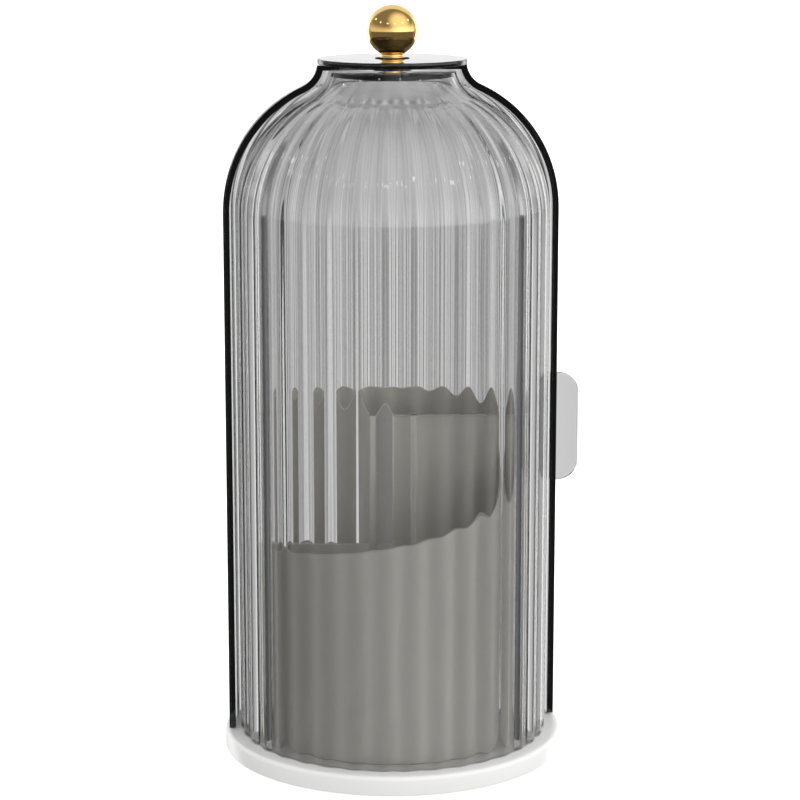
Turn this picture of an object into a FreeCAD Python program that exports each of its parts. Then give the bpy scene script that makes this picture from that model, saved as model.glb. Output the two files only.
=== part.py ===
import math
import os

import FreeCAD
import Part
import Sketcher

# Rotating make-up brush organiser. Millimetres, +Z up, the origin on the turning axis at table level.
# The white turntable carries a brush cup, a fixed fluted shell (centred on -Y) and, on a brass pivot
# at the top, a second fluted half shell that slides round it as a door.

Vector = FreeCAD.Vector
doc = FreeCAD.newDocument("BrushOrganiser")
sheet = doc.addObject("Spreadsheet::Sheet", "Dims")

DIMENSIONS = {
    # used on several pieces
    "clearance": 0.1,
    "overcut": 1.0,
    # turntable base
    "base_radius": 68.4,
    "base_bottom": 0.9,
    "base_top": 8.5,
    "base_skin": 2.3,
    "base_wall": 2.6,
    "base_round": 1.6,
    "boss_radius": 6.0,
    "boss_bottom": 3.9,
    # standing foot and the rubber ring it stands on
    "foot_radius": 62.0,
    "foot_thickness": 1.8,
    "foot_hub_radius": 9.0,
    "foot_hub_rise": 1.2,
    "foot_hub_web": 1.5,
    "foot_hub_slope": 1.0,
    "foot_ring_inner": 46.0,
    "foot_ring_outer": 56.0,
    "foot_ring_height": 1.6,
    # thrust bearing between foot and base
    "race_inner": 29.0,
    "race_outer": 41.0,
    "race_thickness": 0.9,
    "track_radius": 33.0,
    "track_depth": 0.4,
    "track_half_width": 0.9,
    "track_slope": 0.4,
    "ball_radius": 1.2,
    "cage_half_width": 2.2,
    "cage_thickness": 0.8,
    "ball_pocket_radius": 1.3,
    "race_screw_circle": 38.5,
    "race_screw_head": 1.8,
    "race_screw_head_height": 0.7,
    "race_screw_shank": 1.0,
    "race_screw_cover": 0.3,
    "race_screw_end_play": 0.2,
    "race_screw_bite": 1.6,
    # centre pin that holds the base down on the foot
    "pin_radius": 2.5,
    "pin_head_radius": 4.5,
    "pin_head_height": 1.0,
    "pin_thread_radius": 1.9,
    "pin_fit": 0.06,
    "pin_cover": 1.0,
    "pin_end_play": 0.2,
    # fluted shells: the profile of the door's flute crests, and how far inside it each surface lies
    "door_radius": 67.1,
    "dome_spring": 219.4,
    "dome_radius": 54.5,
    "neck_radius": 29.5,
    "neck_fillet": 10.0,
    "wall": 2.6,
    "shell_pitch": 5.0,
    "flute_depth": 1.05,
    "flute_angle": 10.0,
    "fixed_flutes": 20.0,
    "door_flutes": 18.0,
    "door_turn": 8.1,
    "door_clearance": 0.6,
    "shell_groove_depth": 1.2,
    "shell_groove_play": 0.15,
    "shell_groove_extra_angle": 0.5,
    # top plates of the shells, disc and pivot
    "disc_radius": 29.4,
    "disc_top": 279.45,
    "disc_thickness": 2.1,
    "disc_round": 0.4,
    "glide_thickness": 0.4,
    "glide_gap": 0.1,
    "glide_radius": 7.0,
    "lower_glide_radius": 3.9,
    "door_plate": 2.0,
    "fixed_plate": 2.2,
    "hub_radius": 7.7,
    "sleeve_radius": 3.2,
    "bush_fit": 0.05,
    "bush_radius": 5.5,
    "screw_radius": 2.0,
    "screw_head_radius": 4.0,
    "screw_depth_in_ball": 6.5,
    # gold knob
    "ball_knob_radius": 10.0,
    "ball_knob_centre": 290.2,
    "ball_knob_flat": 8.9,
    "knob_washer_radius": 6.7,
    "knob_washer_thickness": 0.2,
    "collar_radius": 4.95,
    "collar_flange": 0.6,
    "collar_waist": 4.3,
    "collar_lip": 0.3,
    # door handle
    "handle_reach": 76.2,
    "handle_bottom": 108.1,
    "handle_top": 152.5,
    "handle_thickness": 2.8,
    "handle_corner": 8.0,
    "handle_edge_round": 0.6,
    "handle_weld_gap": 0.03,
    # brush cup with its spiral rim, and the divider in it
    "cup_radius": 53.5,
    "cup_wall": 1.8,
    "cup_floor": 3.0,
    "rim_tall": 138.4,
    "rim_high": 124.5,
    "rim_front": 96.0,
    "rim_left": 84.0,
    "rim_low": 71.0,
    "tall_start": 90.0,
    "tall_end": 214.5,
    "vane_tall": 137.1,
    "vane_thickness": 1.6,
    "vane_post": 2.4,
    "vane_play": 0.2,
    "cup_screw_circle": 45.0,
    "cup_screw_head": 3.0,
    "cup_screw_head_height": 1.3,
    "cup_screw_shank": 1.4,
    "cup_screw_length": 4.0,
    "cup_screw_end_play": 0.2,
}

BEARING_BALLS = 18
RACE_SCREWS = 4
CUP_SCREWS = 3
CUP_SCREWS_START = 30.0
POLES_PER_FLUTE = 4

for row, (alias, number) in enumerate(DIMENSIONS.items(), start=1):
    sheet.set(f"A{row}", alias)
    sheet.set(f"B{row}", str(number))
    sheet.setAlias(f"B{row}", alias)
doc.recompute()

# Heights that several pieces share, as expressions over the sheet.
FOOT_TOP = "Dims.base_bottom + Dims.foot_thickness"
HUB_UNDERSIDE = "Dims.base_bottom + Dims.foot_hub_rise"
HUB_TOP = f"{HUB_UNDERSIDE} + Dims.foot_hub_web"
SKIN_UNDERSIDE = "Dims.base_top - Dims.base_skin"
LOWER_RACE_TOP = f"{FOOT_TOP} + Dims.race_thickness"
UPPER_RACE_BOTTOM = f"{SKIN_UNDERSIDE} - Dims.race_thickness"
TRACK_MIDDLE = f"({LOWER_RACE_TOP} + {UPPER_RACE_BOTTOM}) / 2"
DISC_BOTTOM = "Dims.disc_top - Dims.disc_thickness"
DOOR_PLATE_TOP = f"{DISC_BOTTOM} - Dims.glide_thickness - Dims.glide_gap"
DOOR_PLATE_BOTTOM = f"{DOOR_PLATE_TOP} - Dims.door_plate"
FIXED_PLATE_TOP = f"{DOOR_PLATE_BOTTOM} - Dims.glide_thickness - Dims.glide_gap"
FIXED_PLATE_BOTTOM = f"{FIXED_PLATE_TOP} - Dims.fixed_plate"
KNOB_FLAT = "Dims.ball_knob_centre - Dims.ball_knob_flat"
SCREW_HOLE = "Dims.screw_radius + Dims.clearance"
SCREW_END = "Dims.base_bottom + Dims.race_screw_cover + Dims.race_screw_end_play"
PIN_HOLE_END = "Dims.base_top - Dims.pin_cover"
CUP_FLOOR_TOP = "Dims.base_top + Dims.cup_floor"

nodes = []


def value(expression):
    """The number that an expression over the sheet stands for."""
    result = sheet.evalExpression(expression)
    return float(getattr(result, "Value", result))


def dim(alias):
    return value(f"Dims.{alias}")


def bind(thing, **expressions):
    """Bind properties of a document object to expressions over the sheet."""
    for name, expression in expressions.items():
        thing.setExpression(name.replace("__", "."), expression)


def keep(thing, label):
    """Name a finished sub-part."""
    thing.Label = label
    nodes.append(thing)
    return thing


# ---------------------------------------------------------------- turned pieces, pockets and screws

def plane_of(body, role):
    return next(item for item in body.Origin.OriginFeatures if item.Role == role)


def outline_sketch(body, name, points, role="XZ_Plane", mirrored=False):
    """A closed outline of straight lines. Each point is a pair of expressions, across and up."""
    sketch = body.newObject("Sketcher::SketchObject", name)
    sketch.AttachmentSupport = [(plane_of(body, role), "")]
    sketch.MapMode = "FlatFace"
    side = -1.0 if mirrored else 1.0
    corners = [Vector(side * value(across), value(up), 0) for across, up in points]
    count = len(corners)
    for index in range(count):
        sketch.addGeometry(Part.LineSegment(corners[index], corners[(index + 1) % count]), False)
    bound = []
    for index, (across, up) in enumerate(points):
        previous = (index - 1) % count
        sketch.addConstraint(Sketcher.Constraint("Coincident", previous, 2, index, 1))
        for kind, expression, number in (("DistanceX", across, corners[index].x),
                                         ("DistanceY", up, corners[index].y)):
            if abs(number) < 1e-9:
                line = -2 if kind == "DistanceX" else -1
                sketch.addConstraint(Sketcher.Constraint("PointOnObject", index, 1, line))
            elif number < 0:
                at = sketch.addConstraint(Sketcher.Constraint(kind, index, 1, -1, 1, -number))
                bound.append((at, expression))
            else:
                at = sketch.addConstraint(Sketcher.Constraint(kind, -1, 1, index, 1, number))
                bound.append((at, expression))
    for at, expression in bound:
        sketch.setExpression(f"Constraints[{at}]", expression)
    doc.recompute()
    return sketch


def turned(label, points):
    """A solid of revolution about Z from an outline of (radius, height) expressions."""
    body = doc.addObject("PartDesign::Body", label)
    sketch = outline_sketch(body, f"{label}_outline", points)
    turn = body.newObject("PartDesign::Revolution", f"{label}_turn")
    turn.Profile = sketch
    turn.ReferenceAxis = (sketch, ["V_Axis"])
    turn.Angle = 360.0
    doc.recompute()
    return keep(body, label)


def ring(label, inner, outer, bottom, top):
    """A plain turned ring."""
    return turned(label, [(inner, bottom), (outer, bottom), (outer, top), (inner, top)])


def circles_sketch(body, name, circles, height):
    """Circles in a horizontal plane: (radius, circle radius, number of them, first angle)."""
    sketch = body.newObject("Sketcher::SketchObject", name)
    sketch.AttachmentSupport = [(plane_of(body, "XY_Plane"), "")]
    sketch.MapMode = "FlatFace"
    sketch.setExpression("AttachmentOffset.Base.z", height)
    radius, circle, count, first = circles
    for index in range(count):
        angle = math.radians(first + 360.0 * index / count)
        distance = value(circle)
        centre = Vector(distance * math.cos(angle), distance * math.sin(angle), 0)
        sketch.addGeometry(Part.Circle(centre, Vector(0, 0, 1), value(radius)), False)
        at = sketch.addConstraint(Sketcher.Constraint("Radius", index, value(radius)))
        sketch.setExpression(f"Constraints[{at}]", radius)
        for kind, number, trig in (("DistanceX", centre.x, "cos"), ("DistanceY", centre.y, "sin")):
            degrees = first + 360.0 * index / count
            if abs(number) < 1e-6:
                line = -2 if kind == "DistanceX" else -1
                sketch.addConstraint(Sketcher.Constraint("PointOnObject", index, 3, line))
                continue
            ends = (-1, 1, index, 3) if number > 0 else (index, 3, -1, 1)
            at = sketch.addConstraint(Sketcher.Constraint(kind, *ends, abs(number)))
            sketch.setExpression(f"Constraints[{at}]", f"abs({circle} * {trig}({degrees}deg))")
    doc.recompute()
    return sketch


def pocketed(body, name, circles, height, depth, upward):
    """Round pockets cut into a body from a horizontal plane."""
    sketch = circles_sketch(body, f"{name}_circles", circles, height)
    before = body.Shape.Volume
    pocket = body.newObject("PartDesign::Pocket", name)
    pocket.Profile = sketch
    pocket.setExpression("Length", depth)
    pocket.Reversed = upward
    doc.recompute()
    if body.Shape.Volume >= before - 1e-6:
        raise RuntimeError(f"{name} cut nothing")
    return pocket


def rounded(body, name, radius, test):
    """Fillet the edges of a body for which test is true."""
    base = body.Tip
    chosen = [f"Edge{index}" for index, edge in enumerate(base.Shape.Edges, start=1) if test(edge)]
    if not chosen:
        raise RuntimeError(f"{name} found no edges")
    fillet = body.newObject("PartDesign::Fillet", name)
    fillet.Base = (base, chosen)
    fillet.setExpression("Radius", radius)
    doc.recompute()
    return fillet


def is_circle_at(edge, radius, height):
    """True for a full circle about Z of that radius and height."""
    curve = edge.Curve
    if not isinstance(curve, Part.Circle):
        return False
    centre = curve.Center
    on_axis = math.hypot(centre.x, centre.y) < 1e-6
    return on_axis and abs(curve.Radius - radius) < 1e-4 and abs(centre.z - height) < 1e-4


def cylinder(name, radius, height, bottom, angle=None, circle="0"):
    """A Part::Cylinder standing at a place on a circle about Z."""
    thing = doc.addObject("Part::Cylinder", name)
    bind(thing, Radius=radius, Height=height, Placement__Base__z=bottom)
    if angle is not None:
        bind(thing, Placement__Base__x=f"{circle} * cos({angle}deg)",
             Placement__Base__y=f"{circle} * sin({angle}deg)")
    return thing


def screw_group(label, count, first, circle, shank, shank_bottom, shank_height, head, head_bottom,
                head_height):
    """Identical screws on a circle, one solid each, kept together in one compound."""
    screws = []
    for index in range(count):
        angle = first + 360.0 * index / count
        name = f"{label}_{index}"
        parts = [cylinder(f"{name}_shank", shank, shank_height, shank_bottom, angle, circle),
                 cylinder(f"{name}_head", head, head_height, head_bottom, angle, circle)]
        screw = doc.addObject("Part::MultiFuse", name)
        screw.Shapes = parts
        screws.append(screw)
    group = doc.addObject("Part::Compound", label)
    group.Links = screws
    doc.recompute()
    return keep(group, label)


# ---------------------------------------------------------------- foot

def make_foot():
    hub = "Dims.foot_hub_radius"
    bore = "Dims.pin_radius + Dims.pin_fit"
    foot = turned("foot_plate", [
        (bore, HUB_UNDERSIDE), (hub, HUB_UNDERSIDE),
        (f"{hub} + Dims.foot_hub_slope", "Dims.base_bottom"),
        ("Dims.foot_ring_inner", "Dims.base_bottom"), ("Dims.foot_ring_inner", "Dims.foot_ring_height"),
        ("Dims.foot_ring_outer", "Dims.foot_ring_height"), ("Dims.foot_ring_outer", "Dims.base_bottom"),
        ("Dims.foot_radius", "Dims.base_bottom"), ("Dims.foot_radius", FOOT_TOP),
        (f"{hub} + Dims.foot_hub_web + Dims.foot_hub_slope", FOOT_TOP),
        (f"{hub} + Dims.foot_hub_web", HUB_TOP), (bore, HUB_TOP)])
    circles = ("Dims.race_screw_shank", "Dims.race_screw_circle", RACE_SCREWS, 0.0)
    screw_end = "Dims.base_bottom + Dims.race_screw_cover"
    pocketed(foot, "foot_screw_holes", circles, screw_end, "Dims.foot_thickness", True)


def make_foot_ring():
    ring("rubber_foot_ring", "Dims.foot_ring_inner", "Dims.foot_ring_outer", "0",
         "Dims.foot_ring_height")


# ---------------------------------------------------------------- bearing

def make_race(label, flat, face, track_floor):
    """A pressed ring: its flat back, its face and the ball track sunk into the face."""
    near = "Dims.track_radius - Dims.track_half_width"
    far = "Dims.track_radius + Dims.track_half_width"
    race = turned(label, [
        ("Dims.race_inner", flat), ("Dims.race_outer", flat), ("Dims.race_outer", face),
        (f"{far} + Dims.track_slope", face), (far, track_floor), (near, track_floor),
        (f"{near} - Dims.track_slope", face),
        ("Dims.race_inner", face)])
    return race


def make_bearing():
    lower = make_race("lower_race", FOOT_TOP, LOWER_RACE_TOP, f"{LOWER_RACE_TOP} - Dims.track_depth")
    circles = ("Dims.race_screw_shank", "Dims.race_screw_circle", RACE_SCREWS, 0.0)
    pocketed(lower, "lower_race_holes", circles, FOOT_TOP, "Dims.race_thickness", True)
    upper = make_race("upper_race", SKIN_UNDERSIDE, UPPER_RACE_BOTTOM,
                      f"{UPPER_RACE_BOTTOM} + Dims.track_depth")
    pocketed(upper, "upper_race_holes", circles, UPPER_RACE_BOTTOM, "Dims.race_thickness", True)

    cage_bottom = f"{TRACK_MIDDLE} - Dims.cage_thickness / 2"
    cage = ring("ball_cage", "Dims.track_radius - Dims.cage_half_width",
                "Dims.track_radius + Dims.cage_half_width", cage_bottom,
                f"{TRACK_MIDDLE} + Dims.cage_thickness / 2")
    circles = ("Dims.ball_pocket_radius", "Dims.track_radius", BEARING_BALLS, 0.0)
    pocketed(cage, "cage_pockets", circles, cage_bottom, "Dims.cage_thickness", True)

    balls = []
    for index in range(BEARING_BALLS):
        angle = 360.0 * index / BEARING_BALLS
        ball = doc.addObject("Part::Sphere", f"ball_{index}")
        bind(ball, Radius="Dims.ball_radius", Placement__Base__z=TRACK_MIDDLE,
             Placement__Base__x=f"Dims.track_radius * cos({angle}deg)",
             Placement__Base__y=f"Dims.track_radius * sin({angle}deg)")
        balls.append(ball)
    group = doc.addObject("Part::Compound", "bearing_balls")
    group.Links = balls
    doc.recompute()
    keep(group, "bearing_balls")

    screw_group("lower_race_screws", RACE_SCREWS, 0.0, "Dims.race_screw_circle",
                "Dims.race_screw_shank", SCREW_END, f"{LOWER_RACE_TOP} - ({SCREW_END})",
                "Dims.race_screw_head", LOWER_RACE_TOP, "Dims.race_screw_head_height")
    screw_group("upper_race_screws", RACE_SCREWS, 0.0, "Dims.race_screw_circle",
                "Dims.race_screw_shank", UPPER_RACE_BOTTOM, "Dims.race_thickness + Dims.race_screw_bite",
                "Dims.race_screw_head", f"{UPPER_RACE_BOTTOM} - Dims.race_screw_head_height",
                "Dims.race_screw_head_height")


# ---------------------------------------------------------------- turntable base

def make_base():
    wall_inside = "Dims.base_radius - Dims.base_wall"
    base = turned("turntable_base", [
        ("Dims.pin_thread_radius", "Dims.boss_bottom"), ("Dims.boss_radius", "Dims.boss_bottom"),
        ("Dims.boss_radius", SKIN_UNDERSIDE), (wall_inside, SKIN_UNDERSIDE),
        (wall_inside, "Dims.base_bottom"), ("Dims.base_radius", "Dims.base_bottom"),
        ("Dims.base_radius", "Dims.base_top"), ("0", "Dims.base_top"),
        ("0", PIN_HOLE_END), ("Dims.pin_thread_radius", PIN_HOLE_END)])
    outer, top, bottom = dim("base_radius"), dim("base_top"), dim("base_bottom")
    rounded(base, "base_top_round", "Dims.base_round", lambda edge: is_circle_at(edge, outer, top))
    rounded(base, "base_bottom_round", "Dims.base_round / 4",
            lambda edge: is_circle_at(edge, outer, bottom))

    outside = "Dims.door_radius - Dims.shell_pitch + Dims.shell_groove_play"
    inside = "Dims.door_radius - Dims.shell_pitch - Dims.wall - Dims.shell_groove_play"
    floor = "Dims.base_top - Dims.shell_groove_depth"
    sketch = outline_sketch(base, "shell_groove_outline", [
        (inside, floor), (outside, floor), (outside, "Dims.base_top + Dims.overcut"),
        (inside, "Dims.base_top + Dims.overcut")], role="YZ_Plane", mirrored=True)
    before = base.Shape.Volume
    groove = base.newObject("PartDesign::Groove", "shell_groove")
    groove.Profile = sketch
    groove.ReferenceAxis = (sketch, ["V_Axis"])
    groove.Midplane = True
    groove.setExpression("Angle", "Dims.fixed_flutes * Dims.flute_angle + Dims.shell_groove_extra_angle")
    doc.recompute()
    if base.Shape.Volume >= before - 1e-6:
        raise RuntimeError("the shell groove cut nothing")

    circles = ("Dims.race_screw_shank", "Dims.race_screw_circle", RACE_SCREWS, 0.0)
    pocketed(base, "base_race_holes", circles, SKIN_UNDERSIDE,
             "Dims.race_screw_bite + Dims.clearance", True)
    circles = ("Dims.cup_screw_shank", "Dims.cup_screw_circle", CUP_SCREWS, CUP_SCREWS_START)
    pocketed(base, "base_cup_holes", circles, SKIN_UNDERSIDE, "Dims.base_skin", True)


def make_centre_pin():
    head_bottom = f"{HUB_UNDERSIDE} - Dims.clearance - Dims.pin_head_height"
    head_top = f"{HUB_UNDERSIDE} - Dims.clearance"
    turned("centre_pin", [
        ("0", head_bottom), ("Dims.pin_head_radius", head_bottom), ("Dims.pin_head_radius", head_top),
        ("Dims.pin_radius", head_top), ("Dims.pin_radius", "Dims.boss_bottom"),
        ("Dims.pin_thread_radius", "Dims.boss_bottom"),
        ("Dims.pin_thread_radius", f"{PIN_HOLE_END} - Dims.pin_end_play"),
        ("0", f"{PIN_HOLE_END} - Dims.pin_end_play")])
    ring("pivot_washer", "Dims.pin_radius + Dims.clearance", "Dims.boss_radius",
         f"{HUB_TOP} + Dims.clearance / 2", "Dims.boss_bottom")


# ---------------------------------------------------------------- cup and divider

def rim_height(angle):
    """Height of the spiral rim; the angle runs from -Y towards +X, in degrees."""
    stations = [(dim("tall_end") - 360.0, dim("rim_low")), (-90.0, dim("rim_left")),
                (0.0, dim("rim_front")), (dim("tall_start"), dim("rim_high"))]
    spline = Part.BSplineCurve()
    spline.interpolate([Vector(at, height, 0) for at, height in stations])
    crossing = spline.intersect(Part.LineSegment(Vector(angle, 0, 0), Vector(angle, 400, 0)))
    return crossing[0].Y


def at_angle(radius, angle, height):
    """A point; the angle runs from -Y towards +X, in degrees."""
    turn = math.radians(angle)
    return Vector(radius * math.sin(turn), -radius * math.cos(turn), height)


def make_cup():
    radius, wall = dim("cup_radius"), dim("cup_wall")
    floor, top = dim("base_top"), dim("rim_tall")
    shape = Part.makeCylinder(radius, top - floor, Vector(0, 0, floor))
    hollow = Part.makeCylinder(radius - wall, top, Vector(0, 0, value(CUP_FLOOR_TOP)))
    shape = shape.cut(hollow)

    first, last, steps = dim("tall_end") - 360.0, dim("tall_start"), 24
    inner, outer = radius - 3 * wall, radius + wall
    low, high = [], []
    for index in range(steps + 1):
        angle = first + (last - first) * index / steps
        height = rim_height(min(max(angle, first + 1e-6), last - 1e-6))
        low.append(at_angle(inner, angle, height))
        high.append(at_angle(outer, angle, height))
    inner_edge, outer_edge = Part.BSplineCurve(), Part.BSplineCurve()
    inner_edge.interpolate(low)
    outer_edge.interpolate(high)
    ramp = Part.makeRuledSurface(inner_edge.toShape(), outer_edge.toShape())
    shape = shape.cut(ramp.extrude(Vector(0, 0, top)))

    for index in range(CUP_SCREWS):
        angle = math.radians(CUP_SCREWS_START + 360.0 * index / CUP_SCREWS)
        circle = dim("cup_screw_circle")
        place = Vector(circle * math.cos(angle), circle * math.sin(angle), floor)
        depth = dim("cup_screw_length") - dim("base_skin") + dim("cup_screw_end_play")
        shape = shape.cut(Part.makeCylinder(dim("cup_screw_shank"), depth, place))
    cup = doc.addObject("Part::Feature", "brush_cup")
    cup.Shape = shape.removeSplitter()
    keep(cup, "brush_cup")


def make_divider():
    reach = "Dims.cup_radius - Dims.cup_wall - Dims.vane_play"
    floor = CUP_FLOOR_TOP
    vanes = []
    for name, angle, top in (("vane_right", "Dims.tall_start", "Dims.vane_tall"),
                             ("vane_back", "Dims.tall_end", "Dims.vane_tall"),
                             ("vane_left", "-90", "Dims.rim_left")):
        vane = doc.addObject("Part::Box", name)
        bind(vane, Length=reach, Width="Dims.vane_thickness", Height=f"{top} - ({floor})",
             Placement__Base__z=floor,
             Placement__Rotation__Angle=f"({angle} - 90) * 1deg",
             Placement__Base__x=f"Dims.vane_thickness / 2 * sin(({angle} - 90) * 1deg)",
             Placement__Base__y=f"-Dims.vane_thickness / 2 * cos(({angle} - 90) * 1deg)")
        vanes.append(vane)
    post = cylinder("vane_post_core", "Dims.vane_post", f"Dims.vane_tall - ({floor})", floor)
    divider = doc.addObject("Part::MultiFuse", "cup_divider")
    divider.Shapes = vanes + [post]
    divider.Refine = True
    doc.recompute()
    keep(divider, "cup_divider")


def make_cup_screws():
    screw_group("cup_screws", CUP_SCREWS, CUP_SCREWS_START, "Dims.cup_screw_circle", "Dims.cup_screw_shank",
                SKIN_UNDERSIDE, "Dims.cup_screw_length", "Dims.cup_screw_head",
                f"{SKIN_UNDERSIDE} - Dims.cup_screw_head_height", "Dims.cup_screw_head_height")


# ---------------------------------------------------------------- fluted shells

def arc_poles(centre, radius, start, end):
    """Four poles of a cubic arc, and the angle each one belongs to; angles in radians."""
    reach = 4.0 / 3.0 * math.tan((end - start) / 4.0) * radius

    def on_arc(angle):
        return centre[0] + radius * math.cos(angle), centre[1] + radius * math.sin(angle)

    first, last = on_arc(start), on_arc(end)
    second = (first[0] - reach * math.sin(start), first[1] + reach * math.cos(start))
    third = (last[0] + reach * math.sin(end), last[1] - reach * math.cos(end))
    return [(pole, start + (end - start) * index / 3.0)
            for index, pole in enumerate((first, second, third, last))]


def shell_profile(inset, bottom, top):
    """The wall's outline from its foot to the neck, this far inside the door's crests.

    Each stretch is a list of (radius, height, normal radius, normal height, flute share)."""
    crest, dome = dim("door_radius"), dim("dome_radius")
    fillet, spring = dim("neck_fillet"), dim("dome_spring")
    dome_centre = (crest - dome, spring)
    fillet_radius_at = dim("neck_radius") + fillet
    rise = math.sqrt((dome + fillet) ** 2 - (fillet_radius_at - dome_centre[0]) ** 2)
    fillet_centre = (fillet_radius_at, spring + rise)
    lean = math.atan2(rise, fillet_radius_at - dome_centre[0])

    outside = crest - inset
    stretches = [[(outside, bottom, 1.0, 0.0, 1.0), (outside, spring, 1.0, 0.0, 1.0)]]
    for start, end in ((0.0, lean / 2), (lean / 2, lean)):
        stretch = []
        for (across, up), angle in arc_poles(dome_centre, dome - inset, start, end):
            share = 1.0 - (angle / lean) ** 2
            stretch.append((across, up, math.cos(angle), math.sin(angle), share))
        stretches.append(stretch)
    hollow = fillet + inset
    finish = math.pi + math.asin((fillet_centre[1] - top) / hollow)
    stretch = []
    for (across, up), angle in arc_poles(fillet_centre, hollow, lean + math.pi, finish):
        stretch.append((across, up, -math.cos(angle), -math.sin(angle), 0.0))
    stretches.append(stretch)
    return stretches


def flute_columns(first, flutes, depth, start_share):
    """(angle, radial step) of each pole round the shell.

    start_share is where in a flute the shell starts: 0 on a crest, 0.5 in a valley."""
    pitch = dim("flute_angle")
    steps = int(round(flutes)) * POLES_PER_FLUTE
    marks = [0.0, 1.0 / 3.0] + [float(step) for step in range(1, steps)] + [steps - 1.0 / 3.0, float(steps)]
    swell = 6.0 / (4.0 + 2.0 * math.cos(2.0 * math.pi / POLES_PER_FLUTE))
    columns = []
    for number, mark in enumerate(marks):
        angle = first + pitch * mark / POLES_PER_FLUTE
        wave = math.cos(2.0 * math.pi * (mark / POLES_PER_FLUTE + start_share))
        gain = 1.0 if number in (0, len(marks) - 1) else swell
        columns.append((angle, -depth / 2.0 + gain * wave * depth / 2.0))
    return columns


def cubic_knots(poles):
    """Knots and their multiplicities for a clamped even cubic of that many poles."""
    spans = poles - 3
    return list(range(spans + 1)), [4] + [1] * (spans - 1) + [4]


def column_curve(points):
    curve = Part.BSplineCurve()
    knots, mults = cubic_knots(len(points))
    curve.buildFromPolesMultsKnots(points, mults, knots, False, 3)
    return curve.toShape()


def stretch_curve(points):
    curve = Part.BSplineCurve()
    degree = len(points) - 1
    curve.buildFromPolesMultsKnots(points, [degree + 1, degree + 1], [0, 1], False, degree)
    return curve.toShape()


def wall_points(stretch, columns):
    """Rows of poles: one row for each column angle, along the stretch."""
    rows = []
    for angle, step in columns:
        row = []
        for across, up, normal_across, normal_up, share in stretch:
            row.append(at_angle(across + step * share * normal_across, angle,
                                up + step * share * normal_up))
        rows.append(row)
    return rows


def wall_face(rows):
    knots, mults = cubic_knots(len(rows))
    degree = len(rows[0]) - 1
    surface = Part.BSplineSurface()
    surface.buildFromPolesMultsKnots(rows, mults, [degree + 1, degree + 1], knots, [0, 1], False,
                                     False, 3, degree)
    return surface.toShape()


def fluted_wall(inset, first, flutes, start_share, bottom, top):
    """The fluted, domed wall of one shell as a solid open towards the other side."""
    skins = []
    for depth, skin_inset in ((dim("flute_depth"), inset), (0.0, inset + dim("wall"))):
        columns = flute_columns(first, flutes, depth, start_share)
        skins.append([wall_points(stretch, columns) for stretch in shell_profile(skin_inset, bottom, top)])
    faces = [wall_face(rows) for skin in skins for rows in skin]
    for column in (0, -1):
        edges = [stretch_curve(rows[column]) for skin in skins for rows in skin]
        edges.append(Part.makeLine(skins[0][0][column][0], skins[1][0][column][0]))
        edges.append(Part.makeLine(skins[0][-1][column][-1], skins[1][-1][column][-1]))
        faces.append(Part.Face(Part.Wire(Part.__sortEdges__(edges))))
    for stretch, level in ((0, 0), (-1, -1)):
        edges = [column_curve([row[level] for row in skin[stretch]]) for skin in skins]
        for column in (0, -1):
            edges.append(Part.makeLine(skins[0][stretch][column][level],
                                       skins[1][stretch][column][level]))
        faces.append(Part.Face(Part.Wire(Part.__sortEdges__(edges))))
    shell = Part.makeShell(faces)
    shell.sewShape()
    solid = Part.makeSolid(Part.Shell(shell.Faces))
    if solid.Volume < 0:
        solid.reverse()
    return solid


def shell_with_plate(label, inset, first, flutes, start_share, bottom, plate_bottom, plate_top, hole):
    """A fluted wall with its flat top plate and the round hub about the pivot."""
    wall = fluted_wall(inset, first, flutes, start_share, bottom, plate_top)
    profile_end = shell_profile(inset, bottom, plate_top)[-1][-1][0]
    inside_end = shell_profile(inset + dim("wall"), bottom, plate_top)[-1][-1][0]
    span = flutes * dim("flute_angle")
    thickness, over = plate_top - plate_bottom, dim("overcut")
    middle = (profile_end + inside_end) / 2
    plate = Part.makeCylinder(middle, thickness, Vector(0, 0, plate_bottom), Vector(0, 0, 1), span)
    plate.rotate(Vector(0, 0, 0), Vector(0, 0, 1), first - 90.0)
    hub = Part.makeCylinder(dim("hub_radius"), thickness, Vector(0, 0, plate_bottom))
    shape = wall.fuse([plate, hub]).removeSplitter()
    bore = Part.makeCylinder(hole, thickness + 2 * over, Vector(0, 0, plate_bottom - over))
    shape = shape.cut(bore)
    thing = doc.addObject("Part::Feature", label)
    thing.Shape = shape.Solids[0] if len(shape.Solids) == 1 else shape
    return keep(thing, label)


def make_shells():
    pitch = dim("flute_angle")
    fixed = dim("fixed_flutes")
    screw_hole = value(SCREW_HOLE)
    shell = shell_with_plate("fixed_shell", dim("shell_pitch"), -fixed * pitch / 2, fixed, 0.5,
                             dim("base_top") - dim("shell_groove_depth"),
                             value(FIXED_PLATE_BOTTOM), value(FIXED_PLATE_TOP), screw_hole)
    sink = Part.makeCone(dim("screw_head_radius") + dim("clearance"), screw_hole, dim("fixed_plate"),
                         Vector(0, 0, value(FIXED_PLATE_BOTTOM)))
    shell.Shape = shell.Shape.cut(sink)

    shell = shell_with_plate("door_shell", 0.0, 90.0, dim("door_flutes"), 0.0,
                             dim("base_top") + dim("door_clearance"),
                             value(DOOR_PLATE_BOTTOM), value(DOOR_PLATE_TOP), dim("bush_radius"))
    turn_door(shell)
    return shell


def turn_door(thing):
    """Turn a door piece, modelled square to the X axis, to where the door stands."""
    turn = FreeCAD.Rotation(Vector(0, 0, 1), dim("door_turn"))
    thing.Placement = FreeCAD.Placement(Vector(0, 0, 0), turn)


# ---------------------------------------------------------------- handle

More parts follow.
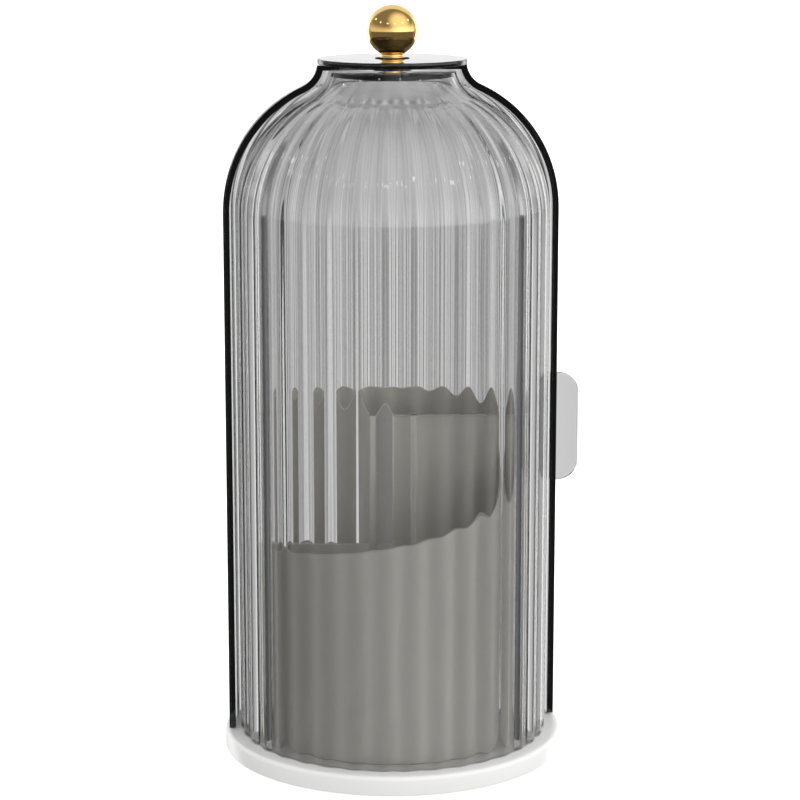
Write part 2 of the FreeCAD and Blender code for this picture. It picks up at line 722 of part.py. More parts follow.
def make_handle(door):
    """A D-shaped tab on the outside of the door's leading edge, its root shaped to the flutes."""
    inner = dim("door_radius") - dim("wall") / 2
    reach, low, high = dim("handle_reach"), dim("handle_bottom"), dim("handle_top")
    corner, thick = dim("handle_corner"), dim("handle_thickness")
    lean = corner * (1.0 - math.sqrt(0.5))
    points = [Vector(inner, 0, low), Vector(reach - corner, 0, low), Vector(reach - lean, 0, low + lean),
              Vector(reach, 0, low + corner), Vector(reach, 0, high - corner),
              Vector(reach - lean, 0, high - lean), Vector(reach - corner, 0, high),
              Vector(inner, 0, high)]
    edges = [Part.makeLine(points[0], points[1]), Part.Arc(points[1], points[2], points[3]).toShape(),
             Part.makeLine(points[3], points[4]), Part.Arc(points[4], points[5], points[6]).toShape(),
             Part.makeLine(points[6], points[7]), Part.makeLine(points[7], points[0])]
    tab = Part.Face(Part.Wire(edges)).extrude(Vector(0, thick, 0))
    rim = [edge for edge in tab.Edges
           if edge.BoundBox.XMax > dim("door_radius") and edge.BoundBox.YLength < 1e-6]
    tab = tab.makeFillet(dim("handle_edge_round"), rim)

    wall = door.Shape.copy()
    wall.Placement = FreeCAD.Placement()
    pieces = tab.cut(wall).Solids
    tab = max(pieces, key=lambda piece: piece.CenterOfMass.x)
    tab.translate(Vector(dim("handle_weld_gap"), 0, 0))
    handle = doc.addObject("Part::Feature", "door_handle")
    handle.Shape = tab
    turn_door(handle)
    keep(handle, "door_handle")


# ---------------------------------------------------------------- top stack and knob

def make_pivot():
    bore = "Dims.sleeve_radius + Dims.bush_fit"
    ring("door_bush", bore, "Dims.bush_radius", DOOR_PLATE_BOTTOM, DOOR_PLATE_TOP)
    ring("lower_glide_washer", "Dims.sleeve_radius + Dims.clearance", "Dims.lower_glide_radius",
         FIXED_PLATE_TOP, f"{FIXED_PLATE_TOP} + Dims.glide_thickness")
    ring("upper_glide_washer", "Dims.sleeve_radius + Dims.clearance", "Dims.glide_radius",
         f"{DISC_BOTTOM} - Dims.glide_thickness", DISC_BOTTOM)
    ring("pivot_sleeve", SCREW_HOLE, "Dims.sleeve_radius", FIXED_PLATE_TOP, DISC_BOTTOM)
    disc = ring("top_disc", SCREW_HOLE, "Dims.disc_radius", DISC_BOTTOM, "Dims.disc_top")
    outer, top, bottom = dim("disc_radius"), dim("disc_top"), value(DISC_BOTTOM)
    rounded(disc, "disc_edge_round", "Dims.disc_round",
            lambda edge: is_circle_at(edge, outer, top) or is_circle_at(edge, outer, bottom))


def make_knob():
    hole = SCREW_HOLE
    base = "Dims.disc_top + Dims.knob_washer_thickness"
    ring("knob_washer", hole, "Dims.knob_washer_radius", "Dims.disc_top", base)
    flange = f"{base} + Dims.collar_flange"
    turned("knob_collar", [
        (hole, base), ("Dims.collar_radius", base), ("Dims.collar_radius", flange),
        ("Dims.collar_waist", flange), ("Dims.collar_waist", f"{KNOB_FLAT} - Dims.collar_lip"),
        ("Dims.collar_waist + Dims.collar_lip", f"{KNOB_FLAT} - Dims.collar_lip"),
        ("Dims.collar_waist + Dims.collar_lip", KNOB_FLAT), (hole, KNOB_FLAT)])

    sphere = doc.addObject("Part::Sphere", "knob_sphere")
    bind(sphere, Radius="Dims.ball_knob_radius", Placement__Base__z="Dims.ball_knob_centre")
    flat = cylinder("knob_flat", "Dims.ball_knob_radius", "Dims.ball_knob_radius",
                    f"{KNOB_FLAT} - Dims.ball_knob_radius")
    seated = doc.addObject("Part::Cut", "knob_seated")
    seated.Base, seated.Tool = sphere, flat
    hole_height = "Dims.screw_depth_in_ball + Dims.overcut"
    thread = cylinder("knob_thread", "Dims.screw_radius", hole_height, KNOB_FLAT)
    knob = doc.addObject("Part::Cut", "knob_ball")
    knob.Base, knob.Tool = seated, thread
    doc.recompute()
    keep(knob, "knob_ball")

    head_top = f"{FIXED_PLATE_BOTTOM} + Dims.screw_head_radius - Dims.screw_radius"
    turned("knob_screw", [
        ("0", FIXED_PLATE_BOTTOM), ("Dims.screw_head_radius", FIXED_PLATE_BOTTOM),
        ("Dims.screw_radius", head_top), ("Dims.screw_radius", f"{KNOB_FLAT} + Dims.screw_depth_in_ball"),
        ("0", f"{KNOB_FLAT} + Dims.screw_depth_in_ball")])


def check_and_write():
    doc.recompute()
    for thing in doc.Objects:
        if "Invalid" in thing.State or "Error" in thing.State:
            raise RuntimeError(f"{thing.Name} failed: {thing.State}")
    for node in nodes:
        if node.Shape.isNull() or not node.Shape.isValid():
            raise RuntimeError(f"{node.Label} has a null or invalid shape")
        if node.Shape.Volume <= 0 or not node.Shape.Solids:
            raise RuntimeError(f"{node.Label} holds no solid")
    os.makedirs("parts", exist_ok=True)
    for node in nodes:
        node.Shape.exportStep(f"parts/{node.Label}.step")
        print(f"{node.Label}: {len(node.Shape.Solids)} solid(s), {node.Shape.Volume:.1f} mm3")


make_foot()
make_foot_ring()
make_bearing()
make_base()
make_centre_pin()
make_cup()
make_divider()
make_cup_screws()
door = make_shells()
make_handle(door)
make_pivot()
make_knob()
check_and_write()
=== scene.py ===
import math

import bpy
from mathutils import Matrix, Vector


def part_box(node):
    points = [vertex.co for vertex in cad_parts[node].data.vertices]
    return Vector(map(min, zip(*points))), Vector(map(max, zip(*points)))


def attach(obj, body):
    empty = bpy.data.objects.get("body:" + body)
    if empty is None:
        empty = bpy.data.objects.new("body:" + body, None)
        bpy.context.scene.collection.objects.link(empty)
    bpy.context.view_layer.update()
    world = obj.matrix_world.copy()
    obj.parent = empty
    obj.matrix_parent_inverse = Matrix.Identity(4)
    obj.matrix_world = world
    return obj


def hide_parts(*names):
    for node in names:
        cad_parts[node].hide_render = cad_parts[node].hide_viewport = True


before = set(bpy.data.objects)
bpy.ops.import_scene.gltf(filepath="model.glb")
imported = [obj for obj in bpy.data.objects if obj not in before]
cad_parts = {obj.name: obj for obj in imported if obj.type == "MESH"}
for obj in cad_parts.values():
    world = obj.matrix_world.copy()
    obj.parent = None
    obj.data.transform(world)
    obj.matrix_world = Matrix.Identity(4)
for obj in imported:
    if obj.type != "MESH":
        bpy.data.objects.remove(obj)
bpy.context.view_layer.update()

MM = 0.001
DEGREE = math.radians(1.0)


def span(node, axis=2):
    """Lowest and highest coordinate of a CAD node along one axis."""
    low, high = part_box(node)
    return low[axis], high[axis]


def outer_radius(node):
    """Radius of a round CAD node that is centred on the turning axis."""
    low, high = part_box(node)
    return (high.y - low.y) / 2


# ---------------------------------------------------------------- sizes

BASE_RADIUS = outer_radius("turntable_base")
BASE_BOTTOM, BASE_TOP = span("turntable_base")
CUP_RADIUS = outer_radius("brush_cup")
CUP_BOTTOM, CUP_TALL = span("brush_cup")
DISC_RADIUS = outer_radius("top_disc")
DISC_BOTTOM, DISC_TOP = span("top_disc")
KNOB_BOTTOM, KNOB_TOP = span("knob_ball")
KNOB_RADIUS = outer_radius("knob_ball")
KNOB_CENTRE = KNOB_TOP - KNOB_RADIUS
COLLAR_BOTTOM = span("knob_collar")[0]
DIVIDER_FLOOR, VANE_TALL_TOP = span("cup_divider")
DOOR_BOTTOM, DOOR_TOP = span("door_shell")
FIXED_BOTTOM, FIXED_TOP = span("fixed_shell")
PLATE_HOLE_DOOR = outer_radius("door_bush")
SCREW_HOLE = 2.1 * MM

# the shells' profile, in the door's flute crests; the other surfaces lie inside it
CREST_RADIUS = 67.1 * MM
DOME_SPRING = 219.4 * MM
DOME_RADIUS = 54.5 * MM
NECK_RADIUS = 29.5 * MM
NECK_FILLET = 10.0 * MM
WALL = 2.6 * MM
SHELL_PITCH = 5.0 * MM
FLUTE_DEPTH = 1.05 * MM
FLUTE_ANGLE = math.radians(10.0)
HUB_RADIUS = 7.7 * MM
DOOR_PLATE = 2.0 * MM
FIXED_PLATE = 2.2 * MM
DOOR_TURN = math.radians(8.1)
FIXED_SPAN = math.radians(200.0)
DOOR_SPAN = math.radians(180.0)

CUP_WALL = 1.8 * MM
CUP_FLOOR = 3.0 * MM
RIM_STATIONS = ((-145.5, 71.0 * MM), (-90.0, 84.0 * MM), (0.0, 96.0 * MM), (90.0, 124.5 * MM))
TALL_START = 90.0
TALL_END = 214.5
VANE_THICKNESS = 1.6 * MM
VANE_PLAY = 0.2 * MM
VANE_POST = 2.4 * MM
VANE_LEFT_TOP = 84.0 * MM

ROUND_STEPS = 192


# ---------------------------------------------------------------- mesh helpers

def at_angle(radius, angle, height):
    """A point; the angle runs from -Y towards +X, in radians."""
    return radius * math.sin(angle), -radius * math.cos(angle), height


def make_mesh(name, points, faces, sharp=40.0):
    mesh = bpy.data.meshes.new(name)
    mesh.from_pydata(points, [], faces)
    mesh.validate()
    mesh.shade_smooth()
    mesh.set_sharp_from_angle(angle=math.radians(sharp))
    piece = bpy.data.objects.new(name, mesh)
    bpy.context.scene.collection.objects.link(piece)
    return piece


def apply_modifiers(piece, sharp=40.0):
    """Bake a piece's modifiers into its mesh."""
    graph = bpy.context.evaluated_depsgraph_get()
    mesh = bpy.data.meshes.new_from_object(piece.evaluated_get(graph))
    piece.modifiers.clear()
    piece.data = mesh
    mesh.shade_smooth()
    mesh.set_sharp_from_angle(angle=math.radians(sharp))


def bevel(piece, width, segments=3, limit=50.0):
    """Round a piece's hard edges."""
    modifier = piece.modifiers.new("edges", "BEVEL")
    modifier.width = width
    modifier.segments = segments
    modifier.limit_method = "ANGLE"
    modifier.angle_limit = math.radians(limit)
    apply_modifiers(piece)


def rounded_outline(corners, steps=5):
    """A (radius, height) outline from corners (radius, height, rounding), with an arc at each corner."""
    outline = []
    count = len(corners)
    for index, (across, up, rounding) in enumerate(corners):
        here = Vector((across, up))
        if rounding <= 0:
            outline.append((across, up))
            continue
        before = Vector(corners[index - 1][:2]) - here
        after = Vector(corners[(index + 1) % count][:2]) - here
        half = before.angle(after) / 2
        reach = rounding / math.tan(half)
        inwards = (before.normalized() + after.normalized()).normalized()
        centre = here + inwards * (rounding / math.sin(half))
        first = here + before.normalized() * reach - centre
        last = here + after.normalized() * reach - centre
        turn = first.angle_signed(last)
        for step in range(steps + 1):
            angle = -turn * step / steps
            outline.append((centre.x + first.x * math.cos(angle) - first.y * math.sin(angle),
                            centre.y + first.x * math.sin(angle) + first.y * math.cos(angle)))
    return outline


def lathe(name, outline, closed, steps=ROUND_STEPS):
    """Turn an outline about Z. A closed outline makes a ring, an open one starts and ends on the
    axis."""
    points, faces = [], []
    rows = outline if closed else outline[1:-1]
    for across, up in rows:
        for step in range(steps):
            points.append(at_angle(across, 2 * math.pi * step / steps, up))
    last = len(rows) if closed else len(rows) - 1
    for row in range(last):
        below, above = row * steps, ((row + 1) % len(rows)) * steps
        for step in range(steps):
            after = (step + 1) % steps
            faces.append((below + step, below + after, above + after, above + step))
    if not closed:
        for end, row, flip in ((outline[0], 0, True), (outline[-1], len(rows) - 1, False)):
            points.append((0.0, 0.0, end[1]))
            tip = len(points) - 1
            for step in range(steps):
                pair = (row * steps + step, row * steps + (step + 1) % steps)
                faces.append((pair[1], pair[0], tip) if flip else (pair[0], pair[1], tip))
    return make_mesh(name, points, faces)


def finish_piece(piece, body, material, slot, *nodes):
    """Give a piece its material, its body and the CAD nodes that it stands for."""
    piece.data.materials.clear()
    piece.data.materials.append(material)
    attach(piece, body)
    if nodes:
        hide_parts(*nodes)
    return piece


# ---------------------------------------------------------------- materials

def new_material(name):
    material = bpy.data.materials.new(name)
    material.use_nodes = True
    nodes = material.node_tree.nodes
    return material, nodes, material.node_tree.links, nodes["Principled BSDF"]


def noise(nodes, links, scale, detail=4.0, roughness=0.5):
    """A noise texture in object space."""
    coordinates = nodes.new("ShaderNodeTexCoord")
    texture = nodes.new("ShaderNodeTexNoise")
    texture.inputs["Scale"].default_value = scale
    texture.inputs["Detail"].default_value = detail
    texture.inputs["Roughness"].default_value = roughness
    links.new(coordinates.outputs["Object"], texture.inputs["Vector"])
    return texture


def vary(nodes, links, texture, low, high, socket):
    """Spread a texture over a range of values on a socket."""
    spread = nodes.new("ShaderNodeMapRange")
    spread.inputs["To Min"].default_value = low
    spread.inputs["To Max"].default_value = high
    links.new(texture.outputs[0], spread.inputs["Value"])
    links.new(spread.outputs["Result"], socket)


def bump(nodes, links, texture, strength, distance, shader):
    relief = nodes.new("ShaderNodeBump")
    relief.inputs["Strength"].default_value = strength
    relief.inputs["Distance"].default_value = distance
    links.new(texture.outputs[0], relief.inputs["Height"])
    links.new(relief.outputs["Normal"], shader.inputs["Normal"])


def smoked_plastic(name, density, tint):
    """Clear plastic that darkens with the length of the way through it."""
    material, nodes, links, shader = new_material(name)
    shader.inputs["Base Color"].default_value = (1.0, 1.0, 1.0, 1.0)
    shader.inputs["Transmission Weight"].default_value = 1.0
    shader.inputs["IOR"].default_value = 1.49
    haze = noise(nodes, links, 60.0)
    vary(nodes, links, haze, 0.0, 0.005, shader.inputs["Roughness"])
    absorb = nodes.new("ShaderNodeVolumeAbsorption")
    absorb.inputs["Color"].default_value = (*tint, 1.0)
    absorb.inputs["Density"].default_value = density
    links.new(absorb.outputs["Volume"], nodes["Material Output"].inputs["Volume"])
    return material


def moulded_plastic(name, colour, rough, grain, grain_depth, mottling=0.03, gloss=0.5):
    """Opaque moulded plastic with a fine grain and a slight mottling of its colour."""
    material, nodes, links, shader = new_material(name)
    shader.inputs["Specular IOR Level"].default_value = gloss
    cloud = noise(nodes, links, 25.0, 3.0)
    ramp = nodes.new("ShaderNodeValToRGB")
    ramp.color_ramp.elements[0].color = (*[c * (1 - mottling) for c in colour], 1.0)
    ramp.color_ramp.elements[1].color = (*[min(c * (1 + mottling), 1.0) for c in colour], 1.0)
    ramp.color_ramp.elements[0].position = 0.3
    ramp.color_ramp.elements[1].position = 0.7
    links.new(cloud.outputs[0], ramp.inputs["Fac"])
    links.new(ramp.outputs["Color"], shader.inputs["Base Color"])
    fine = noise(nodes, links, grain, 2.0)
    vary(nodes, links, fine, rough - 0.05, rough + 0.05, shader.inputs["Roughness"])
    bump(nodes, links, fine, 0.25, grain_depth, shader)
    return material


def polished_metal(name, colour, rough, wear):
    """Polished or plated metal with faint smears in its gloss."""
    material, nodes, links, shader = new_material(name)
    shader.inputs["Base Color"].default_value = (*colour, 1.0)
    shader.inputs["Metallic"].default_value = 1.0
    smear = noise(nodes, links, 220.0, 6.0, 0.6)
    vary(nodes, links, smear, rough, rough + wear, shader.inputs["Roughness"])
    return material


def make_materials():
    return {
        "smoked": smoked_plastic("smoked_plastic", 160.0, (0.0, 0.0, 0.0)),
        "disc": smoked_plastic("smoked_disc", 600.0, (0.0, 0.0, 0.0)),
        "handle": smoked_plastic("handle_plastic", 210.0, (0.0, 0.0, 0.0)),
        "white": moulded_plastic("white_plastic", (0.8, 0.8, 0.79), 0.3, 900.0, 0.02 * MM, 0.01),
        "cup": moulded_plastic("cup_plastic", (0.64, 0.62, 0.57), 0.42, 1200.0, 0.01 * MM, 0.02),
        "nylon": moulded_plastic("nylon", (0.75, 0.74, 0.69), 0.4, 900.0, 0.02 * MM),
        "rubber": moulded_plastic("rubber", (0.03, 0.03, 0.03), 0.7, 1500.0, 0.05 * MM, 0.1),
        "black": moulded_plastic("black_nylon", (0.02, 0.02, 0.022), 0.8, 900.0, 0.02 * MM, 0.1, 0.1),
        "gold": polished_metal("gold", (0.86, 0.58, 0.2), 0.05, 0.06),
        "steel": polished_metal("steel", (0.6, 0.6, 0.61), 0.25, 0.15),
    }


# ---------------------------------------------------------------- fluted shells

def shell_profile(inset, bottom, top):
    """(radius, height, normal radius, normal height, flute share) rows from the foot to the neck."""
    dome_across = CREST_RADIUS - DOME_RADIUS
    fillet_across = NECK_RADIUS + NECK_FILLET
    rise = math.sqrt((DOME_RADIUS + NECK_FILLET) ** 2 - (fillet_across - dome_across) ** 2)
    lean = math.atan2(rise, fillet_across - dome_across)
    straight_rows, dome_rows, fillet_rows = 6, 30, 12
    rows = []
    for step in range(straight_rows):
        height = bottom + (DOME_SPRING - bottom) * step / straight_rows
        rows.append((CREST_RADIUS - inset, height, 1.0, 0.0, 1.0))
    radius = DOME_RADIUS - inset
    for step in range(dome_rows):
        angle = lean * step / dome_rows
        rows.append((dome_across + radius * math.cos(angle), DOME_SPRING + radius * math.sin(angle),
                     math.cos(angle), math.sin(angle), 1.0 - (angle / lean) ** 2))
    radius = NECK_FILLET + inset
    centre_up = DOME_SPRING + rise
    finish = math.pi + math.asin((centre_up - top) / radius)
    start = math.pi + lean
    for step in range(fillet_rows + 1):
        angle = start + (finish - start) * step / fillet_rows
        rows.append((fillet_across + radius * math.cos(angle), centre_up + radius * math.sin(angle),
                     -math.cos(angle), -math.sin(angle), 0.0))
    return rows


def fluted_shell(name, inset, first, sweep, turn, start_share, bottom, plate_top, plate_thickness, hole):
    """One domed shell with its top plate and hub, as a single closed mesh.

    start_share is where in a flute the shell starts: 0 on a crest, 0.5 in a valley."""
    plate_bottom = plate_top - plate_thickness
    outer = shell_profile(inset, bottom, plate_top)
    inner = shell_profile(inset + WALL, bottom, plate_bottom)
    steps_per_flute, hub_steps = 16, 36
    steps = round(sweep / FLUTE_ANGLE * steps_per_flute)
    rows = len(outer)
    loop = 2 * rows + 4
    points, faces = [], []

    for step in range(steps + 1):
        angle = first + sweep * step / steps
        wave = math.cos(2 * math.pi * (step / steps_per_flute + start_share))
        dip = -FLUTE_DEPTH / 2 * (1 - wave)
        for across, up, normal_across, normal_up, share in outer:
            points.append(at_angle(across + dip * share * normal_across, angle + turn,
                                   up + dip * share * normal_up))
        for across, up in ((HUB_RADIUS, plate_top), (hole, plate_top), (hole, plate_bottom),
                           (HUB_RADIUS, plate_bottom)):
            points.append(at_angle(across, angle + turn, up))
        for across, up, *_ in reversed(inner):
            points.append(at_angle(across, angle + turn, up))
    for step in range(steps):
        here, there = step * loop, (step + 1) * loop
        for row in range(loop):
            after = (row + 1) % loop
            faces.append((here + row, there + row, there + after, here + after))

    for column, flip in ((0, False), (steps * loop, True)):
        caps = []
        for row in range(rows - 1):
            caps.append((column + row, column + row + 1,
                         column + loop - 2 - row, column + loop - 1 - row))
        caps.append((column + rows - 1, column + rows, column + rows + 3, column + rows + 4))
        faces.extend(tuple(reversed(cap)) if flip else cap for cap in caps)

    hub = [[steps * loop + rows + corner for corner in range(4)]]
    for step in range(1, hub_steps):
        angle = first + sweep + (2 * math.pi - sweep) * step / hub_steps + turn
        hub.append([])
        for across, up in ((HUB_RADIUS, plate_top), (hole, plate_top), (hole, plate_bottom),
                           (HUB_RADIUS, plate_bottom)):
            hub[-1].append(len(points))
            points.append(at_angle(across, angle, up))
    hub.append([rows + corner for corner in range(4)])
    for here, there in zip(hub, hub[1:]):
        for corner in range(4):
            after = (corner + 1) % 4
            faces.append((here[corner], there[corner], there[after], here[after]))
    return make_mesh(name, points, faces, sharp=30.0)


def make_shells(materials):
    fixed = fluted_shell("fixed_fluted_shell", SHELL_PITCH, -FIXED_SPAN / 2, FIXED_SPAN, 0.0, 0.5,
                         FIXED_BOTTOM, FIXED_TOP, FIXED_PLATE, SCREW_HOLE)
    finish_piece(fixed, "turntable", materials["smoked"], "smoked_plastic", "fixed_shell")
    door = fluted_shell("fluted_door", 0.0, math.pi / 2, DOOR_SPAN, DOOR_TURN, 0.0,
                        DOOR_BOTTOM, DOOR_TOP, DOOR_PLATE, PLATE_HOLE_DOOR)
    finish_piece(door, "door", materials["smoked"], "smoked_plastic", "door_shell")


# ---------------------------------------------------------------- base, disc and knob

def make_base(materials):
    skin, wall, edge, support = 2.3 * MM, 2.6 * MM, 1.6 * MM, 1.0 * MM
    # the rings at the supports keep the flat faces' shading flat up to the rounded edge
    outline = rounded_outline([
        (0.0, BASE_TOP - skin, 0.0), (BASE_RADIUS - wall - support, BASE_TOP - skin, 0.0),
        (BASE_RADIUS - wall, BASE_TOP - skin, 0.5 * MM), (BASE_RADIUS - wall, BASE_BOTTOM, 0.3 * MM),
        (BASE_RADIUS, BASE_BOTTOM, 0.5 * MM), (BASE_RADIUS, BASE_TOP, edge),
        (BASE_RADIUS - edge - support, BASE_TOP, 0.0), (0.0, BASE_TOP, 0.0)])
    base = lathe("white_turntable", outline, closed=False)
    finish_piece(base, "turntable", materials["white"], "white_plastic", "turntable_base")


def make_disc(materials):
    edge, support = 0.35 * MM, 0.8 * MM
    outline = rounded_outline([
        (0.0, DISC_BOTTOM, 0.0), (DISC_RADIUS - support, DISC_BOTTOM, 0.0),
        (DISC_RADIUS, DISC_BOTTOM, edge), (DISC_RADIUS, DISC_TOP, edge),
        (DISC_RADIUS - support, DISC_TOP, 0.0), (0.0, DISC_TOP, 0.0)])
    disc = lathe("smoked_top_disc", outline, closed=False)
    finish_piece(disc, "turntable", materials["disc"], "smoked_disc", "top_disc")


def make_knob(materials):
    steps = 64
    flat = math.acos((KNOB_CENTRE - KNOB_BOTTOM) / KNOB_RADIUS)
    outline = [(0.0, KNOB_BOTTOM)]
    for step in range(steps + 1):
        angle = flat + (math.pi - flat) * step / steps
        outline.append((KNOB_RADIUS * math.sin(angle), KNOB_CENTRE - KNOB_RADIUS * math.cos(angle)))
    outline[-1] = (0.0, KNOB_TOP)
    ball = lathe("gold_ball", outline, closed=False)
    finish_piece(ball, "turntable", materials["gold"], "gold", "knob_ball")

    foot, waist, flange = 4.95 * MM, 4.3 * MM, 0.6 * MM
    lip = 0.3 * MM
    outline = rounded_outline([
        (SCREW_HOLE, COLLAR_BOTTOM, 0.0), (foot, COLLAR_BOTTOM, 0.15 * MM),
        (foot, COLLAR_BOTTOM + flange, 0.3 * MM), (waist, COLLAR_BOTTOM + flange, 0.2 * MM),
        (waist, KNOB_BOTTOM - lip, 0.15 * MM),
        (waist + lip, KNOB_BOTTOM, 0.05 * MM), (SCREW_HOLE, KNOB_BOTTOM, 0.0)])
    collar = lathe("gold_collar", outline, closed=True)
    finish_piece(collar, "turntable", materials["gold"], "gold", "knob_collar")


# ---------------------------------------------------------------- cup and divider

def rim_height(angle):
    """Height of the spiral rim at an angle in degrees: the cubic through its four stations."""
    height = 0.0
    for at, level in RIM_STATIONS:
        weight = 1.0
        for other, _ in RIM_STATIONS:
            if other != at:
                weight *= (angle - other) / (at - other)
        height += level * weight
    return height


def make_cup(materials):
    """The cup: a turned floor and wall whose rim rises in a spiral, with one tall stretch."""
    step_width, ramp_steps, tall_steps = 0.25, 220, 90
    low_end = TALL_END - 360.0
    angles = [low_end + (TALL_START - low_end) * step / ramp_steps
              for step in range(ramp_steps + 1)]
    tops = [rim_height(angle) for angle in angles]
    tall = [TALL_START + step_width + (TALL_END - TALL_START - 2 * step_width) * step / tall_steps
            for step in range(tall_steps + 1)]
    angles.extend(tall)
    tops.extend([CUP_TALL] * len(tall))
    floor_up, foot = CUP_BOTTOM + CUP_FLOOR, 0.6 * MM
    rim = 0.45 * MM
    levels = 12
    inside = CUP_RADIUS - CUP_WALL
    columns = []
    for angle, top in zip(angles, tops):
        column = [(CUP_RADIUS - foot, CUP_BOTTOM), (CUP_RADIUS, CUP_BOTTOM + foot)]
        column += [(CUP_RADIUS, CUP_BOTTOM + foot + (top - rim - CUP_BOTTOM - foot) * level / levels)
                   for level in range(1, levels + 1)]
        column += [(CUP_RADIUS - rim * 0.3, top - rim * 0.3), (CUP_RADIUS - rim, top),
                   (inside + rim, top), (inside + rim * 0.3, top - rim * 0.3)]
        column += [(inside, top - rim - (top - rim - floor_up - foot) * level / levels)
                   for level in range(levels + 1)]
        column += [(inside - foot, floor_up)]
        columns.append([at_angle(across, math.radians(angle), up) for across, up in column])
    count, rows = len(columns), len(columns[0])
    points = [point for column in columns for point in column]
    faces = []
    for index in range(count):
        here, there = index * rows, ((index + 1) % count) * rows
        for row in range(rows - 1):
            faces.append((here + row, there + row, there + row + 1, here + row + 1))
    for row, up, flip in ((0, CUP_BOTTOM, True), (rows - 1, floor_up, False)):
        points.append((0.0, 0.0, up))
        tip = len(points) - 1
        for index in range(count):
            pair = (index * rows + row, ((index + 1) % count) * rows + row)
            faces.append((pair[1], pair[0], tip) if flip else (pair[0], pair[1], tip))
    cup = make_mesh("brush_cup_body", points, faces)
    finish_piece(cup, "turntable", materials["cup"], "cup_plastic", "brush_cup")


def make_divider(materials):
    """Three upright vanes that meet at a post on the turning axis."""
    reach = CUP_RADIUS - CUP_WALL - VANE_PLAY
    half = VANE_THICKNESS / 2
    parts = []
    for number, (angle, top) in enumerate(((TALL_START, VANE_TALL_TOP), (TALL_END, VANE_TALL_TOP),
                                           (-90.0, VANE_LEFT_TOP))):
        turn = math.radians(angle)
        along = Vector((math.sin(turn), -math.cos(turn), 0))
        across = Vector((math.cos(turn), math.sin(turn), 0)) * half
        corners = [-across, along * reach - across, along * reach + across, across]
        points = [tuple(c + Vector((0, 0, up))) for up in (DIVIDER_FLOOR, top) for c in corners]
        faces = [(3, 2, 1, 0), (4, 5, 6, 7), (0, 1, 5, 4), (1, 2, 6, 5), (2, 3, 7, 6), (3, 0, 4, 7)]
        parts.append(make_mesh(f"vane_{number}", points, faces))
    post = lathe("vane_post", [(0.0, DIVIDER_FLOOR), (VANE_POST, DIVIDER_FLOOR),
                               (VANE_POST, VANE_TALL_TOP), (0.0, VANE_TALL_TOP)], closed=False, steps=48)
    parts.append(post)
    divider = parts[0]
    for other in parts[1:]:
        union = divider.modifiers.new("union", "BOOLEAN")
        union.operation = "UNION"
        union.solver = "EXACT"
        union.object = other
        apply_modifiers(divider)
        bpy.data.objects.remove(other)
    divider.name = "cup_partitions"
    bevel(divider, 0.3 * MM, 2)
    finish_piece(divider, "turntable", materials["cup"], "cup_plastic", "cup_divider")


# ---------------------------------------------------------------- CAD nodes that stay

def paint_cad_nodes(materials):
    finishes = {
        "foot_plate": "white", "rubber_foot_ring": "rubber", "lower_race": "steel",
        "lower_race_screws": "steel", "ball_cage": "nylon", "bearing_balls": "steel",
        "upper_race": "steel", "upper_race_screws": "steel", "centre_pin": "steel",
        "pivot_washer": "nylon", "cup_screws": "steel", "door_bush": "black",
        "lower_glide_washer": "gold", "upper_glide_washer": "black", "knob_washer": "black",
        "pivot_sleeve": "gold", "knob_screw": "gold", "door_handle": "handle",
    }
    for node, finish in finishes.items():
        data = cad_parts[node].data
        data.materials.clear()
        data.materials.append(materials[finish])


# ---------------------------------------------------------------- camera, light and floor

def make_camera():
    """A long lens a metre away, a little above the knob, looking down at the organiser."""
    focal, sensor = 118.73, 36.0
    aside, distance, height = 3.0 * MM, 1036.4 * MM, 352.9 * MM
    pitch, azimuth = math.radians(11.436), math.radians(-0.4)
    data = bpy.data.cameras.new("camera")
    data.lens = focal
    data.sensor_width = sensor
    camera = bpy.data.objects.new("camera", data)
    camera.location = (aside * math.cos(azimuth) + distance * math.sin(azimuth),
                       aside * math.sin(azimuth) - distance * math.cos(azimuth), height)
    camera.rotation_euler = (math.pi / 2 - pitch, 0.0, azimuth)
    bpy.context.scene.collection.objects.link(camera)
    bpy.context.scene.camera = camera


class WorldNodes:
    """A world's node tree, with short calls for working out a brightness from a direction."""

    def __init__(self, world):
        world.use_nodes = True
        self.nodes = world.node_tree.nodes
        self.links = world.node_tree.links

    def maths(self, operation, *values):
        """A sum of values, each a socket or a plain number."""
        node = self.nodes.new("ShaderNodeMath")
        node.operation = operation
        for socket, value in zip(node.inputs, values):
            if isinstance(value, (int, float)):
                socket.default_value = value
            else:
                self.links.new(value, socket)
        return node.outputs[0]

    def step(self, value, start, end, low, high):
        """A soft step: low up to start, high from end on."""
        node = self.nodes.new("ShaderNodeMapRange")
        node.interpolation_type = "SMOOTHSTEP"
        for name, number in (("From Min", start), ("From Max", end), ("To Min", low), ("To Max", high)):
            node.inputs[name].default_value = number
        self.links.new(value, node.inputs["Value"])
        return node.outputs["Result"]

    def turn_step(self, angle, start, end, low, high):
        """A soft step over an angle, with its start and end in degrees."""
        return self.step(angle, start * DEGREE, end * DEGREE, low, high)

    def off(self, angle, centre):
        """How far an angle is from a centre in degrees."""
        return self.maths("ABSOLUTE", self.maths("SUBTRACT", angle, centre * DEGREE))

    def is_set(self, value):
        """1 where a count of bounces is at least one."""
        return self.maths("GREATER_THAN", value, 0.5)

    def blend(self, factor, first, second):
        """Mix two values; the second may be a plain number."""
        node = self.nodes.new("ShaderNodeMix")
        self.links.new(factor, node.inputs["Factor"])
        self.links.new(first, node.inputs["A"])
        if isinstance(second, float):
            node.inputs["B"].default_value = second
        else:
            self.links.new(second, node.inputs["B"])
        return node.outputs["Result"]


